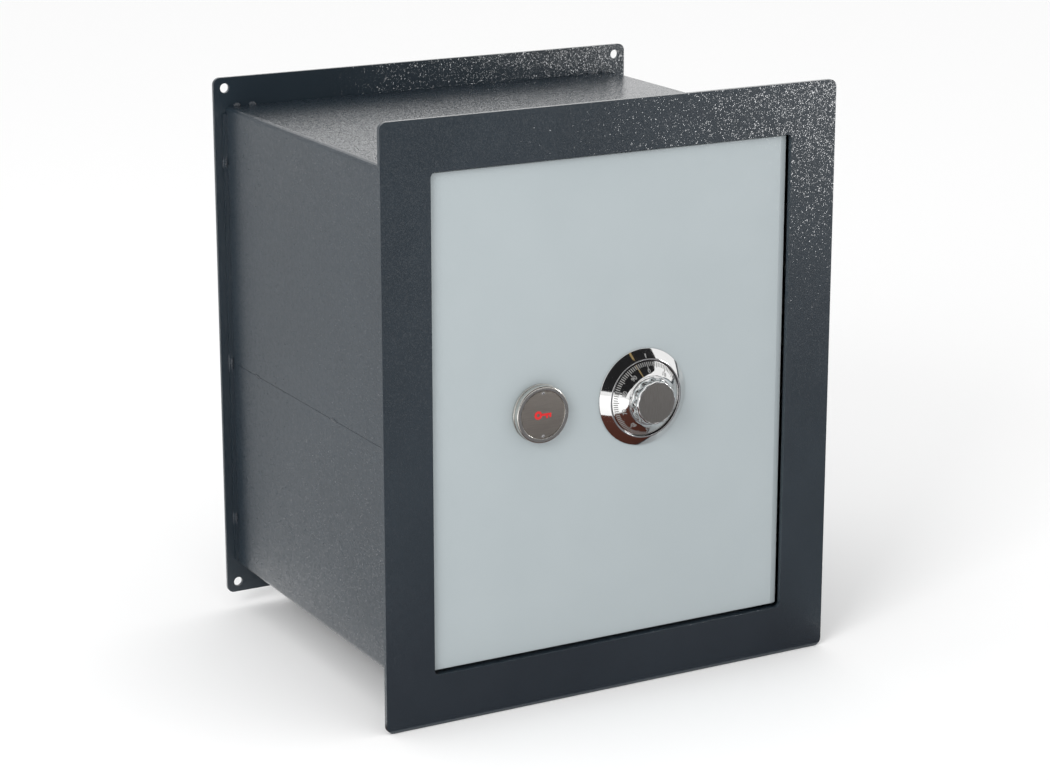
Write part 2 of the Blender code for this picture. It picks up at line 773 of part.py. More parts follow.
def wheel_post():
    """The tube that the wheels turn on. The spindle runs through it to the drive cam."""
    start = ON_DOOR + CASE_SHEET + GAP
    length = CAM_FRONT - 0.0007 - start
    inner = SPINDLE_RADIUS + RUN
    profile = [(0.007, length), (0.007, 0.0012), (0.010, 0.0012), (0.010, 0), (inner, 0), (inner, length)]
    turned("wheel_post", profile, (DIAL_X, start, 0), "rear", "brass", "door_axis", 32)


def gated_disc(radius, gate_angle, sides=48):
    """A disc with a square gate cut in its rim, which the fence can drop into."""
    half = math.degrees(math.asin(GATE_WIDTH / 2 / radius))
    points = arc((0, 0), radius, gate_angle + half, gate_angle + 360 - half, sides)
    along = Vector((math.cos(math.radians(gate_angle)), math.sin(math.radians(gate_angle))))
    across = Vector((-along.y, along.x))
    floor = radius - GATE_DEPTH
    for side in (-1, 1):
        corner = along * floor + across * side * GATE_WIDTH / 2
        points.append((corner.x, corner.y))
    return points


def combination_wheels():
    for index, gate_angle in enumerate((205, 310, 20)):
        front = WHEEL_FIRST_Y + index * WHEEL_PITCH
        loops = [gated_disc(WHEEL_RADIUS, gate_angle), circle(0.007 + RUN, 32)]
        name = f"combination_wheel_{index + 1}"
        plate(name, loops, front, front + WHEEL_SHEET, "brass", "door_axis", (DIAL_X, 0))


def dial():
    """The graduated cone. It turns just above the ring's floor and rises to the knob's collar."""
    inner = SPINDLE_RADIUS + RUN
    hub = DIAL_HUB_RADIUS - DIAL_HUB_STEP
    collar = DIAL_HUB_HEIGHT + DIAL_COLLAR
    edge = RING_HEIGHT - DIAL_SINK
    profile = [(inner, collar), (hub - 2 * DIAL_CHAMFER, collar)]
    profile += [(hub, collar - DIAL_CHAMFER), (hub, DIAL_HUB_HEIGHT)]
    profile += [(DIAL_RADIUS - DIAL_CHAMFER, edge), (DIAL_RADIUS, edge - DIAL_CHAMFER)]
    profile += [(DIAL_RADIUS, DIAL_UNDERSIDE), (inner, DIAL_UNDERSIDE)]
    turned("dial", profile, (DIAL_X, DOOR_FRONT, 0), "front", "chrome", "dial_axis", 72)


def dial_knob():
    """The fluted grip, with a blind bore for the spindle."""
    low = DIAL_HUB_HEIGHT + DIAL_COLLAR + GAP
    steps = KNOB_FLUTES * 6
    outline = []
    for i in range(steps):
        angle = 2 * math.pi * i / steps
        flute = 0.5 - 0.5 * math.cos(KNOB_FLUTES * angle)
        radius = KNOB_RADIUS - KNOB_FLUTE_DEPTH * flute
        outline.append((radius * math.cos(angle), radius * math.sin(angle)))
    front = DOOR_FRONT - KNOB_HEIGHT
    rear = DOOR_FRONT - low
    obj = plate("dial_knob", [outline], front, rear, "nickel", "dial_axis", (DIAL_X, 0))
    bevel(obj, KNOB_BEVEL)
    overrun = 0.002
    place = (DIAL_X, rear + overrun, 0)
    bore = SPINDLE_RADIUS + RUN
    length = KNOB_BORE_DEPTH + overrun
    combine(obj, rod("knob_bore", bore, length, place, "front", None, "dial_axis", 24))


def dial_spindle():
    start = DOOR_FRONT - SPINDLE_HEIGHT
    end = CAM_REAR + SPINDLE_PAST_CAM
    place = (DIAL_X, end, 0)
    rod("dial_spindle", SPINDLE_RADIUS, end - start, place, "front", "zinc", "dial_axis", 24)


def drive_cam():
    loops = [gated_disc(WHEEL_RADIUS, 140), circle(SPINDLE_RADIUS + RUN, 24)]
    plate("drive_cam", loops, CAM_FRONT, CAM_REAR, "brass", "dial_axis", (DIAL_X, 0))


def bolt_bar():
    """The flat bar behind the door that carries the three bolts. Its slots run on two studs."""
    left = STUD_X - STUD_RADIUS - RUN
    right = STUD_X + BOLT_TRAVEL + STUD_RADIUS + RUN
    bar = [(BAR_LEFT, -BAR_HALF_HEIGHT), (BAR_RIGHT, -BAR_HALF_HEIGHT)]
    bar += [(BAR_RIGHT, BAR_HALF_HEIGHT), (BAR_LEFT, BAR_HALF_HEIGHT)]
    loops = [bar]
    for side in (-1, 1):
        loops.append(long_hole(left, right, side * STUD_Z, STUD_RADIUS + RUN))
    front = BOLT_Y - BAR_SHEET / 2
    plate("bolt_bar", loops, front, front + BAR_SHEET, "zinc", "bolt_slide")


def round_bolts():
    """The bolts' tips are chamfered. Each bolt's tail ends on the bar's left edge."""
    length = BAR_LEFT - GAP - BOLT_TIP
    chamfer = 0.0015
    profile = [(0, length), (BOLT_RADIUS - chamfer, length), (BOLT_RADIUS, length - chamfer)]
    profile += [(BOLT_RADIUS, 0), (0, 0)]
    for label, height in BOLT_HEIGHTS.items():
        place = (BAR_LEFT - GAP, BOLT_Y, height)
        turned(f"bolt_{label}", profile, place, "left", "zinc", "bolt_slide", 32)


def bolt_studs():
    """Shouldered studs on the door that the bolt bar slides on."""
    head_low = BOLT_Y + BAR_SHEET / 2 + RUN - ON_DOOR
    profile = [
        (0, head_low + 0.002),
        (0.007, head_low + 0.002),
        (0.007, head_low),
        (STUD_RADIUS, head_low),
        (STUD_RADIUS, 0),
        (0, 0),
    ]
    for label, side in (("upper", 1), ("lower", -1)):
        place = (STUD_X, ON_DOOR, side * STUD_Z)
        turned(f"bolt_stud_{label}", profile, place, "rear", "zinc", "door_axis", 24)


def lock_tongue():
    """The arm that the key moves: from the bolt bar into the key lock's case."""
    front, rear = tongue_span()
    low = (-0.108, front, -0.009)
    high = (-0.062, rear, 0.009)
    block("lock_tongue", low, high, "zinc", "bolt_slide")


def fence_lever():
    """The arm above the wheels. Its fence lies across all of them, just clear of their rims."""
    end = 0.049
    half = 0.003
    arm = [(end, -half), (end, half)]
    arm += arc((0, 0), 0.004, 60, 300, 10)
    loops = [arm, circle(0.0023, 16)]
    at = (FENCE_X, FENCE_Z)
    obj = plate("fence_lever", loops, CAM_FRONT, CAM_REAR, "zinc", "fence_axis", at)
    fence_left = DIAL_X - 0.003
    low_corner = (fence_left, WHEEL_FIRST_Y, WHEEL_RADIUS + 0.0004)
    high_corner = (fence_left + 0.006, CAM_REAR - 0.0005, FENCE_Z - 0.0005)
    join(obj, block("fence_bar", low_corner, high_corner, None, "fence_axis"))


def fence_pivot_screw():
    start = ON_DOOR + CASE_SHEET + GAP
    head = CAM_REAR + RUN - start
    shoulder = CAM_FRONT - RUN - start
    profile = [
        (0, head + 0.0018),
        (0.0038, head + 0.0018),
        (0.0038, head),
        (0.002, head),
        (0.002, shoulder),
        (0.0035, shoulder),
        (0.0035, 0),
        (0, 0),
    ]
    place = (FENCE_X, start, FENCE_Z)
    turned("fence_pivot_screw", profile, place, "rear", "zinc", "door_axis", 16)


def joint_axes():
    joint_axis("door_axis", (HINGE_X, HINGE_Y, 0))
    joint_axis("dial_axis", (DIAL_X, DOOR_FRONT, 0), "door_axis")
    joint_axis("key_cover_axis", (KEY_X, DOOR_FRONT, KEY_PIN_Z), "door_axis")
    joint_axis("bolt_slide", (BAR_LEFT, BOLT_Y, 0), "door_axis")
    joint_axis("fence_axis", (FENCE_X, CAM_FRONT, FENCE_Z), "door_axis")


def box_pieces():
    front_flange()
    back_plate()
    shell("upper_shell", 1)
    shell("lower_shell", -1)
    strike_channel()
    for label, side in (("upper", 1), ("lower", -1)):
        hinge_bracket(f"hinge_bracket_{label}", side)
        hinge_pin(f"hinge_pin_{label}", side)
        hinge_washer(f"hinge_washer_{label}", side)
    stop_strip("stop_strip_top", 1)
    stop_strip("stop_strip_bottom", -1)
    shelf()
    shelf_support("shelf_support_left", -1)
    shelf_support("shelf_support_right", 1)


def door_pieces():
    door_plate()
    door_hinge_block("door_hinge_block_upper", 1)
    door_hinge_block("door_hinge_block_lower", -1)
    dog_bar()
    bolt_guide()
    bolt_studs()
    mechanism_cover()
    cover_posts()
    key_escutcheon()
    key_guide()
    key_lock()
    dial_ring()
    spindle_bush()
    wheel_case()
    wheel_post()
    fence_pivot_screw()


def moving_pieces():
    dial()
    dial_knob()
    dial_spindle()
    drive_cam()
    combination_wheels()
    key_cover_cap()
    key_cover_pins()
    bolt_bar()
    round_bolts()
    lock_tongue()
    fence_lever()


joint_axes()
box_pieces()
door_pieces()
moving_pieces()
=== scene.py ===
"""Looks for the wall safe: paints, plated metals, the dial's engraving, weld beads and small fasteners."""

import json
import math
import random

import bmesh
import bpy
from mathutils import Matrix, Vector


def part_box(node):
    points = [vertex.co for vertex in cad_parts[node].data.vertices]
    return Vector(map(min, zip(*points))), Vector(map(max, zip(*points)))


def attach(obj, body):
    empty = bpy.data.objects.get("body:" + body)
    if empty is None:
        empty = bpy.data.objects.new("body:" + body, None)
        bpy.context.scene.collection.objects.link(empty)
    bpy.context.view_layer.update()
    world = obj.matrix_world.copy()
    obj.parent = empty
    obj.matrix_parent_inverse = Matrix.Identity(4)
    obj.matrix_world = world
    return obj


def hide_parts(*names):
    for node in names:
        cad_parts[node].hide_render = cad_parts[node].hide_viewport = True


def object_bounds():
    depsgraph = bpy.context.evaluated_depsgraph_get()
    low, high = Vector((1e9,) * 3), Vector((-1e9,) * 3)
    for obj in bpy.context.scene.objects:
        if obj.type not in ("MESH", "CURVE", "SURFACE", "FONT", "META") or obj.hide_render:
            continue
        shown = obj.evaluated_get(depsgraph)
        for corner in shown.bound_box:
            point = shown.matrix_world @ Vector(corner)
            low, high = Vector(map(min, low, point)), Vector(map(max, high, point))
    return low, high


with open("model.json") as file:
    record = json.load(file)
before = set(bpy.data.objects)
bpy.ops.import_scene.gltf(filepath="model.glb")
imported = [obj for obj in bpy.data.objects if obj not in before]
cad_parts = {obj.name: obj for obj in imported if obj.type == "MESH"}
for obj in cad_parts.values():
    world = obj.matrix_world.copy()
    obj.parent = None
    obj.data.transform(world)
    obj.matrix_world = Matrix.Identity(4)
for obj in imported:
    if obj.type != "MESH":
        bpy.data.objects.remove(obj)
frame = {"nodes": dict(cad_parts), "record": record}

CAD_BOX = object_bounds()
MM = 0.001
NODES = frame["nodes"]


# ---------------------------------------------------------------- places read from the frame
def centre(node):
    low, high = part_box(node)
    return (low + high) / 2


def top_of(node, axis):
    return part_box(node)[1][axis]


def bottom_of(node, axis):
    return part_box(node)[0][axis]


X, Y, Z = 0, 1, 2
DOOR_FRONT = bottom_of("door_plate", Y)
DOOR_REAR = top_of("door_plate", Y)
DIAL = centre("dial_ring")
KEY = centre("key_escutcheon")
PIN = centre("key_cover_pin")
BODY_SHEET = 2.0 * MM
FIT_GAP = 0.3 * MM  # left between two CAD solids that touch
BODY_LEFT = bottom_of("strike_channel", X) - BODY_SHEET - FIT_GAP
BODY_TOP = top_of("upper_shell", Z)
BODY_BOTTOM = bottom_of("lower_shell", Z)
SEAM = (bottom_of("upper_shell", Z) + top_of("lower_shell", Z)) / 2
BACK_FRONT = bottom_of("back_plate", Y)
FLOOR_Z = CAD_BOX[0][2]


# ---------------------------------------------------------------- material helpers
class Graph:
    """A Principled material and short calls that add nodes to it."""

    def __init__(self, name):
        self.material = bpy.data.materials.new(name)
        self.material.use_nodes = True
        self.tree = self.material.node_tree
        self.shader = self.tree.nodes["Principled BSDF"]
        self.place = self.tree.nodes.new("ShaderNodeTexCoord").outputs["Object"]

    def put(self, **values):
        for name, value in values.items():
            self.shader.inputs[name.replace("_", " ")].default_value = value

    def link(self, source, target):
        self.tree.links.new(source, target)

    def into(self, name, source):
        self.link(source, self.shader.inputs[name])

    def stretched(self, scale):
        node = self.tree.nodes.new("ShaderNodeMapping")
        node.inputs["Scale"].default_value = scale
        self.link(self.place, node.inputs["Vector"])
        return node.outputs["Vector"]

    def noise(self, scale, detail=2.0, roughness=0.5, vector=None):
        node = self.tree.nodes.new("ShaderNodeTexNoise")
        node.inputs["Scale"].default_value = scale
        node.inputs["Detail"].default_value = detail
        node.inputs["Roughness"].default_value = roughness
        self.link(vector or self.place, node.inputs["Vector"])
        return node.outputs["Fac"]

    def cells(self, scale, smoothness=0.6):
        node = self.tree.nodes.new("ShaderNodeTexVoronoi")
        node.feature = "SMOOTH_F1"
        node.inputs["Scale"].default_value = scale
        node.inputs["Smoothness"].default_value = smoothness
        self.link(self.place, node.inputs["Vector"])
        return node.outputs["Distance"]

    def span(self, source, low, high, from_low=0.3, from_high=0.7):
        node = self.tree.nodes.new("ShaderNodeMapRange")
        node.inputs["From Min"].default_value = from_low
        node.inputs["From Max"].default_value = from_high
        node.inputs["To Min"].default_value = low
        node.inputs["To Max"].default_value = high
        self.link(source, node.inputs["Value"])
        return node.outputs["Result"]

    def tint(self, source, dark, light):
        node = self.tree.nodes.new("ShaderNodeMix")
        node.data_type = "RGBA"
        node.inputs["A"].default_value = (*dark, 1.0)
        node.inputs["B"].default_value = (*light, 1.0)
        self.link(source, node.inputs["Factor"])
        return node.outputs["Result"]

    def mean(self, first, second, share):
        node = self.tree.nodes.new("ShaderNodeMix")
        node.inputs["Factor"].default_value = share
        self.link(first, node.inputs["A"])
        self.link(second, node.inputs["B"])
        return node.outputs["Result"]

    def math(self, operation, *inputs):
        node = self.tree.nodes.new("ShaderNodeVectorMath")
        node.operation = operation
        for socket, value in zip(node.inputs, inputs):
            if isinstance(value, bpy.types.NodeSocket):
                self.link(value, socket)
            else:
                socket.default_value = value
        return node.outputs["Value" if operation == "LENGTH" else "Vector"]

    def facets(self, pitch, tilt):
        """A normal that is flat over each small grain, and leans another way on each."""
        node = self.tree.nodes.new("ShaderNodeTexVoronoi")
        node.inputs["Scale"].default_value = 1 / pitch
        self.link(self.place, node.inputs["Vector"])
        lean = self.math("SUBTRACT", node.outputs["Color"], (0.5, 0.5, 0.5))
        size = self.math("LENGTH", lean)
        scaled = self.tree.nodes.new("ShaderNodeVectorMath")
        scaled.operation = "SCALE"
        self.link(lean, scaled.inputs["Vector"])
        self.link(size, scaled.inputs["Scale"])
        steep = self.math("MULTIPLY", scaled.outputs["Vector"], (tilt, tilt, tilt))
        flat = self.tree.nodes.new("ShaderNodeNewGeometry").outputs["Normal"]
        return self.math("NORMALIZE", self.math("ADD", flat, steep))

    def bump(self, height, distance, strength=1.0, under=None):
        node = self.tree.nodes.new("ShaderNodeBump")
        node.inputs["Strength"].default_value = strength
        node.inputs["Distance"].default_value = distance
        self.link(height, node.inputs["Height"])
        if under:
            self.link(under, node.inputs["Normal"])
        return node.outputs["Normal"]


def textured_paint(name, dark, light, pitch, height, tilt, roughness, coat):
    """Powder coat: rounded grains at the given pitch and height, in metres, under a skin of tiny facets."""
    graph = Graph(name)
    grain = graph.mean(graph.noise(1 / pitch, 2.0, 0.45), graph.cells(0.8 / pitch), 0.35)
    slow = graph.noise(14.0, 3.0)
    graph.into("Base Color", graph.tint(graph.span(slow, 0.0, 1.0), dark, light))
    graph.into("Roughness", graph.span(graph.noise(240.0), roughness - 0.04, roughness + 0.05))
    wavy = graph.bump(graph.noise(90.0, 1.0), 0.00025, 0.35)
    graph.into("Normal", graph.bump(grain, height, 1.0, wavy))
    graph.into("Coat Normal", graph.facets(pitch, tilt))
    graph.put(Coat_Weight=coat, Coat_Roughness=0.10, Specular_IOR_Level=0.4)
    return graph.material


def dark_paint():
    dark = (0.013, 0.022, 0.031)
    light = (0.017, 0.027, 0.037)
    return textured_paint("dark_textured_paint", dark, light, 0.60 * MM, 0.12 * MM, 0.45, 0.42, 0.9)


def weld_paint():
    """The same dark paint over the ripples and spatter of a weld."""
    dark = (0.022, 0.028, 0.036)
    light = (0.034, 0.042, 0.052)
    return textured_paint("painted_weld", dark, light, 0.55 * MM, 0.30 * MM, 1.5, 0.36, 1.0)


def light_paint():
    dark = (0.372, 0.418, 0.434)
    light = (0.388, 0.434, 0.450)
    return textured_paint("light_textured_paint", dark, light, 0.55 * MM, 0.05 * MM, 0.34, 0.45, 0.30)


def mirror_chrome():
    graph = Graph("mirror_chrome")
    haze = graph.noise(60.0, 4.0)
    graph.into("Roughness", graph.span(haze, 0.035, 0.075))
    graph.into("Base Color", graph.tint(graph.span(haze, 0, 1), (0.80, 0.80, 0.79), (0.86, 0.86, 0.86)))
    graph.into("Normal", graph.bump(graph.noise(260.0, 2.0), 0.00002, 0.25))
    graph.put(Metallic=1.0)
    return graph.material


def brushed_metal(name, dark, light, roughness, scale, depth=0.00004):
    """Fine scratches: noise stretched by the given scale vector."""
    graph = Graph(name)
    strokes = graph.noise(1.0, 4.0, 0.65, graph.stretched(scale))
    graph.into("Base Color", graph.tint(graph.span(strokes, 0.0, 1.0), dark, light))
    graph.into("Roughness", graph.span(strokes, roughness - 0.06, roughness + 0.07))
    graph.into("Normal", graph.bump(strokes, depth, 0.6))
    graph.put(Metallic=1.0)
    return graph.material


def engraved_metal():
    graph = Graph("engraved_metal")
    cut = graph.noise(2500.0, 2.0)
    graph.into("Base Color", graph.tint(graph.span(cut, 0, 1), (0.22, 0.22, 0.22), (0.30, 0.30, 0.29)))
    graph.into("Roughness", graph.span(cut, 0.45, 0.60))
    graph.put(Metallic=0.2)
    return graph.material


def red_enamel():
    graph = Graph("red_enamel")
    pool = graph.noise(500.0, 2.0)
    graph.into("Base Color", graph.tint(graph.span(pool, 0, 1), (0.58, 0.012, 0.014), (0.66, 0.018, 0.02)))
    graph.into("Roughness", graph.span(pool, 0.28, 0.36))
    graph.into("Normal", graph.bump(pool, 0.00003, 0.3))
    return graph.material


def brass():
    graph = Graph("machined_brass")
    turning = graph.noise(1.0, 3.0, 0.6, graph.stretched((300.0, 2600.0, 300.0)))
    graph.into("Base Color", graph.tint(graph.span(turning, 0, 1), (0.60, 0.43, 0.18), (0.72, 0.54, 0.27)))
    graph.into("Roughness", graph.span(turning, 0.22, 0.36))
    graph.into("Normal", graph.bump(turning, 0.00003, 0.5))
    graph.put(Metallic=1.0)
    return graph.material


def zinc_plate():
    """Bright zinc: faint mottled grain, slightly blue."""
    graph = Graph("zinc_plate")
    mottle = graph.mean(graph.noise(180.0, 4.0, 0.6), graph.cells(140.0, 0.3), 0.4)
    graph.into("Base Color", graph.tint(graph.span(mottle, 0, 1), (0.50, 0.51, 0.52), (0.66, 0.67, 0.67)))
    graph.into("Roughness", graph.span(mottle, 0.27, 0.42))
    graph.into("Normal", graph.bump(graph.noise(700.0, 3.0), 0.00004, 0.5))
    graph.put(Metallic=1.0)
    return graph.material


DARK = dark_paint()
WELD = weld_paint()
LIGHT = light_paint()
CHROME = mirror_chrome()
NICKEL = brushed_metal("satin_nickel", (0.42, 0.38, 0.34), (0.52, 0.48, 0.43), 0.34, (90.0, 90.0, 2600.0))
POLISHED = brushed_metal(
    "polished_nickel", (0.66, 0.64, 0.60), (0.74, 0.72, 0.68), 0.13, (400, 400, 400), 0.00001
)
KNOB_FACE = brushed_metal(
    "brushed_knob", (0.30, 0.29, 0.27), (0.40, 0.38, 0.36), 0.38, (2400.0, 90.0, 120.0)
)
ENGRAVED = engraved_metal()
RED = red_enamel()
BRASS = brass()
ZINC = zinc_plate()

SLOT_MATERIALS = {
    "dark_paint": DARK,
    "light_paint": LIGHT,
    "chrome": CHROME,
    "nickel": NICKEL,
    "zinc": ZINC,
    "brass": BRASS,
}


# ---------------------------------------------------------------- mesh helpers
def smooth(mesh, degrees=35.0):
    mesh.shade_smooth()
    mesh.set_sharp_from_angle(angle=math.radians(degrees))


def paint_cad_nodes():
    """Gives each CAD node its slot's material and smooth shading across its small angles."""
    slots = {row["node"]: row["material_slot"] for row in frame["record"]["subparts"]}
    for name, node in NODES.items():
        node.data.materials.clear()
        node.data.materials.append(SLOT_MATERIALS[slots[name]])
        smooth(node.data, 30.0)


def new_piece(name, shape, materials, body, replaces=(), degrees=35.0):
    """Turns a bmesh, already in place, into a piece that rides on a body."""
    mesh = bpy.data.meshes.new(name)
    bmesh.ops.recalc_face_normals(shape, faces=shape.faces)
    shape.to_mesh(mesh)
    shape.free()
    smooth(mesh, degrees)
    for material in materials:
        mesh.materials.append(material)
    piece = bpy.data.objects.new(name, mesh)
    bpy.context.scene.collection.objects.link(piece)
    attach(piece, body)
    if replaces:
        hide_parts(*replaces)
    return piece


def filleted(points, radius, steps=5):
    """The open polyline with its inner corners rounded. A corner's third value is its own radius."""
    result = [Vector(points[0][:2])]
    for before, corner, after in zip(points, points[1:], points[2:]):
        size = corner[2] if len(corner) > 2 else radius
        here = Vector(corner[:2])
        back = Vector(before[:2]) - here
        ahead = Vector(after[:2]) - here
        size = min(size, 0.45 * back.length, 0.45 * ahead.length)
        start = here + back.normalized() * size
        end = here + ahead.normalized() * size
        for i in range(steps + 1):
            t = i / steps
            result.append(start.lerp(here, t).lerp(here.lerp(end, t), t))
    result.append(Vector(points[-1][:2]))
    return result


def lathe(profile, sides, place, radius_at=None):
    """A turned bmesh about the -Y axis through place. The profile is (radius, height towards the front)."""
    shape = bmesh.new()
    rings = []
    for radius, height in profile:
        ring = []
        if radius < 1e-7:
            ring = [shape.verts.new((place[0], place[1] - height, place[2]))] * sides
        else:
            for i in range(sides):
                angle = 2 * math.pi * i / sides
                r = radius_at(radius, height, angle) if radius_at else radius
                x = place[0] + r * math.cos(angle)
                z = place[2] + r * math.sin(angle)
                ring.append(shape.verts.new((x, place[1] - height, z)))
        rings.append(ring)
    for above, below in zip(rings, rings[1:]):
        for i in range(sides):
            j = (i + 1) % sides
            corners = []
            for corner in (above[i], above[j], below[j], below[i]):
                if corner not in corners:
                    corners.append(corner)
            if len(corners) > 2:
                shape.faces.new(corners)
    return shape


def prism(outline, low, high, place):
    """A bmesh plate from a closed outline of (x, z) about place, from low to high in front of place's y."""
    shape = bmesh.new()
    loops = []
    for height in (low, high):
        loops.append([shape.verts.new((place[0] + x, place[1] - height, place[2] + z)) for x, z in outline])
    count = len(outline)
    for i in range(count):
        j = (i + 1) % count
        shape.faces.new((loops[0][i], loops[0][j], loops[1][j], loops[1][i]))
    shape.faces.new(loops[0])
    shape.faces.new(loops[1])
    return shape


# ---------------------------------------------------------------- the combination dial
RING_OUTER = (top_of("dial_ring", X) - bottom_of("dial_ring", X)) / 2
RING_FRONT = DOOR_FRONT - bottom_of("dial_ring", Y)
DIAL_OUTER = (top_of("dial", X) - bottom_of("dial", X)) / 2
DIAL_BACK = DOOR_FRONT - top_of("dial", Y)
COLLAR_FRONT = DOOR_FRONT - bottom_of("dial", Y)
KNOB_BACK = DOOR_FRONT - top_of("dial_knob", Y)
KNOB_FRONT = DOOR_FRONT - bottom_of("dial_knob", Y)
KNOB_OUTER = (top_of("dial_knob", X) - bottom_of("dial_knob", X)) / 2
AXIS = (DIAL[0], DOOR_FRONT, DIAL[2])
CONE_EDGE = DIAL_OUTER - 0.3 * MM
CONE_EDGE_FRONT = RING_FRONT - 0.6 * MM
HUB = 20.3 * MM
HUB_FRONT = COLLAR_FRONT - 1.1 * MM
SPINDLE_BORE = 4.3 * MM
MARKS = 100
GROOVE_EDGE = 0.0155  # half the angle, in radians, of a mark's groove at its top
GROOVE_FLOOR = 0.0128
NUMERAL_RADIUS = 23.3 * MM
NUMERAL_SIZE = 4.8 * MM
NUMERAL_LIFT = 0.04 * MM
FLUTES = 12
FLUTE_DEPTH = 1.3 * MM
CONE_SLOPE = (HUB_FRONT - CONE_EDGE_FRONT) / (CONE_EDGE - HUB)


def dial_ring():
    """The mirror cone round the dial, with its rolled inner rim."""
    inner = DIAL_OUTER + 0.0005
    floor = 0.0030
    profile = filleted(
        [
            (0.0065, floor),
            (inner, floor, 0.0004),
            (inner, RING_FRONT, 0.00035),
            (inner + 0.0012, RING_FRONT, 0.0004),
            (RING_OUTER - 0.0002, 0.0012, 0.0006),
            (RING_OUTER, 0.0008, 0.0003),
            (RING_OUTER, 0.0003, 0.0001),
            (0.0065, 0.0003),
            (0.0065, floor),
        ],
        0.0003,
    )
    shape = lathe(profile, 160, AXIS)
    bmesh.ops.remove_doubles(shape, verts=shape.verts, dist=1e-7)
    new_piece("dial_ring_cone", shape, [CHROME], "door", ["dial_ring"])


def index_mark():
    """The small raised wedge on the ring's top that the numbers are read against."""
    rim = DIAL_OUTER + 0.0017
    slope = (RING_FRONT - 0.0012) / (RING_OUTER - rim)
    shape = bmesh.new()
    corners = []
    for along, half in ((rim + 0.0005, 0.00030), (rim + 0.0036, 0.0007)):
        for side in (-1, 1):
            for lift in (-0.0002, 0.00022):
                height = RING_FRONT - (along - rim) * slope + lift
                corner = (AXIS[0] + side * half, AXIS[1] - height, AXIS[2] + along)
                corners.append(shape.verts.new(corner))
    a, b, c, d, e, f, g, h = corners
    for face in ((a, b, d, c), (e, g, h, f), (a, e, f, b), (c, d, h, g), (b, f, h, d), (a, c, g, e)):
        shape.faces.new(face)
    bmesh.ops.bevel(shape, geom=shape.edges[:], offset=0.00008, segments=2, affect="EDGES")
    new_piece("dial_index_mark", shape, [ENGRAVED], "door")


def mark_angles():
    """The angles of the dial's grid: four to each of the hundred marks, the inner two in the groove."""
    angles = []
    offsets = ((-GROOVE_EDGE, False), (-GROOVE_FLOOR, True), (GROOVE_FLOOR, True), (GROOVE_EDGE, False))
    for mark in range(MARKS):
        middle = math.pi / 2 + 2 * math.pi * mark / MARKS
        for offset, inside in offsets:
            angles.append((middle + offset, mark, inside))
    return angles


def cone_height(radius):
    return CONE_EDGE_FRONT + (CONE_EDGE - radius) * CONE_SLOPE


def dial_face():
    """The graduated cone. Its hundred marks are real grooves in it."""
    depth = 0.00022
    outer_end = DIAL_OUTER - 0.0009
    short = outer_end - 0.0028
    five = outer_end - 0.0036
    ten = outer_end - 0.0048
    step = 0.00006
    rings = [(SPINDLE_BORE, COLLAR_FRONT, None), (HUB - 0.0008, COLLAR_FRONT, None)]
    rings += [(HUB - 0.0003, COLLAR_FRONT - 0.00012, None), (HUB, COLLAR_FRONT - 0.0005, None)]
    rings += [(HUB, HUB_FRONT + 0.0003, None), (HUB + 0.0003, HUB_FRONT - 0.0001, None)]
    for radius, level in (
        (0.0235, None),
        (ten - step, None),
        (ten, 10),
        (five - step, 10),
        (five, 5),
        (short - step, 5),
        (short, 1),
        (outer_end, 1),
        (outer_end + step, None),
        (CONE_EDGE - 0.0002, None),
    ):
        rings.append((radius, cone_height(radius), level))
    rings.append((DIAL_OUTER - 0.0001, CONE_EDGE_FRONT - 0.0001, None))
    rings.append((DIAL_OUTER, CONE_EDGE_FRONT - 0.0004, None))
    rings += [(DIAL_OUTER, DIAL_BACK, None), (SPINDLE_BORE, DIAL_BACK, None)]
    rings.append((SPINDLE_BORE, COLLAR_FRONT, None))
    angles = mark_angles()
    shape = bmesh.new()
    grid = []
    for radius, height, level in rings:
        row = []
        for angle, mark, inside in angles:
            cut = inside and level is not None and mark % level == 0
            drop = depth if cut else 0.0
            x = AXIS[0] + radius * math.cos(angle)
            z = AXIS[2] + radius * math.sin(angle)
            row.append((shape.verts.new((x, AXIS[1] - height + drop, z)), cut))
        grid.append(row)
    count = len(angles)
    for above, below in zip(grid, grid[1:]):
        for i in range(count):
            j = (i + 1) % count
            corners = [above[i], above[j], below[j], below[i]]
            face = shape.faces.new([vertex for vertex, _ in corners])
            face.material_index = 1 if sum(cut for _, cut in corners) >= 2 else 0
    bmesh.ops.remove_doubles(shape, verts=shape.verts, dist=1e-8)
    new_piece("dial_face", shape, [CHROME, ENGRAVED], "dial_and_spindle", ["dial"], 25.0)


